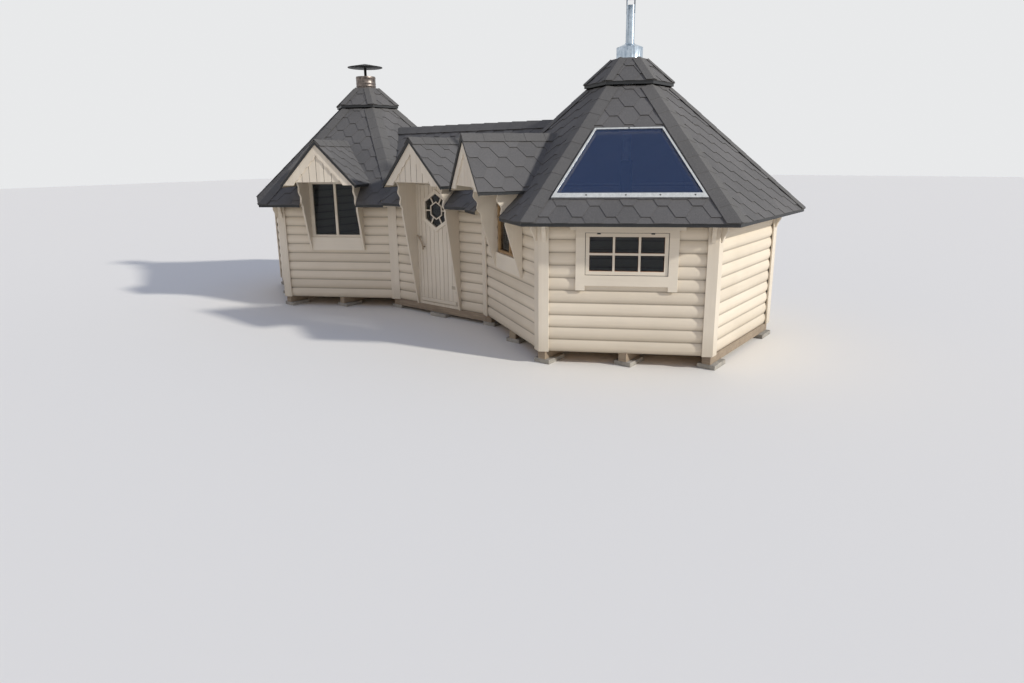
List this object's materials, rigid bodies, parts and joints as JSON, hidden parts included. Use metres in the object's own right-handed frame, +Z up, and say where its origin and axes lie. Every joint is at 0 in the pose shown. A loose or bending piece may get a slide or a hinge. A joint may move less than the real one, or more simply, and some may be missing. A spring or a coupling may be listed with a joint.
{
  "type": "pair of hexagonal log huts with a gabled passage",
  "caption": "Two hexagonal timber log huts with steep shingled roofs, joined by a gabled passage with a hinged door, dormer bays, vent caps, a chimney hat and a flue.",
  "frame": {"origin": "middle of the building on the ground, halfway between the two hut centres", "axes": "+Z up, +X along the passage from the left hut to the right hut, -Y towards the side with the door"},
  "size_m": [8.4976, 4.2236, 4.0304],
  "materials": {
    "concrete": "matte",
    "bearer_timber": "matte",
    "floor_boards": "satin",
    "painted_logs": "satin",
    "painted_trim": "satin",
    "shingled_panel": "matte",
    "bitumen_capping": "matte",
    "copper_sheet": "satin",
    "bright_steel": "satin",
    "silver_rail": "satin",
    "black_steel": "satin",
    "dark_hinge": "satin",
    "brown_sash": "satin",
    "window_pane": "gloss",
    "dark_glazing": "gloss",
    "brown_handle": "satin"
  },
  "bodies": {
    "building": {"foundation_pads": "concrete", "left_bearers": "bearer_timber", "link_bearers": "bearer_timber", "right_bearers": "bearer_timber", "left_floor": "floor_boards", "link_floor": "floor_boards", "right_floor": "floor_boards", "left_window_wall": "painted_logs", "left_front_wall": "painted_logs", "left_end_wall": "painted_logs", "left_rear_wall": "painted_logs", "left_inner_wall": "painted_logs", "right_window_wall": "painted_logs", "right_bay_wall": "painted_logs", "right_end_wall": "painted_logs", "right_rear_wall": "painted_logs", "right_inner_wall": "painted_logs", "link_wall_left": "painted_logs", "link_wall_right": "painted_logs", "link_back_wall": "painted_logs", "link_posts": "painted_logs", "left_corner_boards": "painted_trim", "right_corner_boards": "painted_trim", "left_brackets": "painted_trim", "right_brackets": "painted_trim", "left_roof": "shingled_panel", "right_roof": "shingled_panel", "link_roof": "shingled_panel", "left_hip_caps": "bitumen_capping", "right_hip_caps": "bitumen_capping", "link_ridge_cap": "bitumen_capping", "left_vent_cap": "shingled_panel", "right_vent_cap": "shingled_panel", "left_sleeve": "copper_sheet", "right_sleeve": "bright_steel", "chimney_hat": "black_steel", "flue": "bright_steel", "left_dormer_front": "painted_trim", "door_dormer_front": "painted_trim", "right_dormer_front": "painted_trim", "left_dormer_roof": "shingled_panel", "door_dormer_roof": "shingled_panel", "right_dormer_roof": "shingled_panel", "left_bay_window": "brown_sash", "right_bay_window": "brown_sash", "right_window": "painted_trim", "right_window_casing": "painted_trim", "window_glass": "window_pane", "roof_window_frame": "silver_rail", "roof_window_pane": "dark_glazing", "door_frame": "painted_trim", "hinge_pins": "dark_hinge"},
    "door": {"door_leaf": "painted_trim", "door_glass": "window_pane", "door_handle": "brown_handle", "door_knuckles": "dark_hinge"}
  },
  "joints": [
    {"name": "door_hinge", "type": "hinge", "parent": "building", "child": "door", "pos_m": [0.352, -0.914, 1], "axis": [0, 0, 1], "range_deg": [0, 85]}
  ]
}
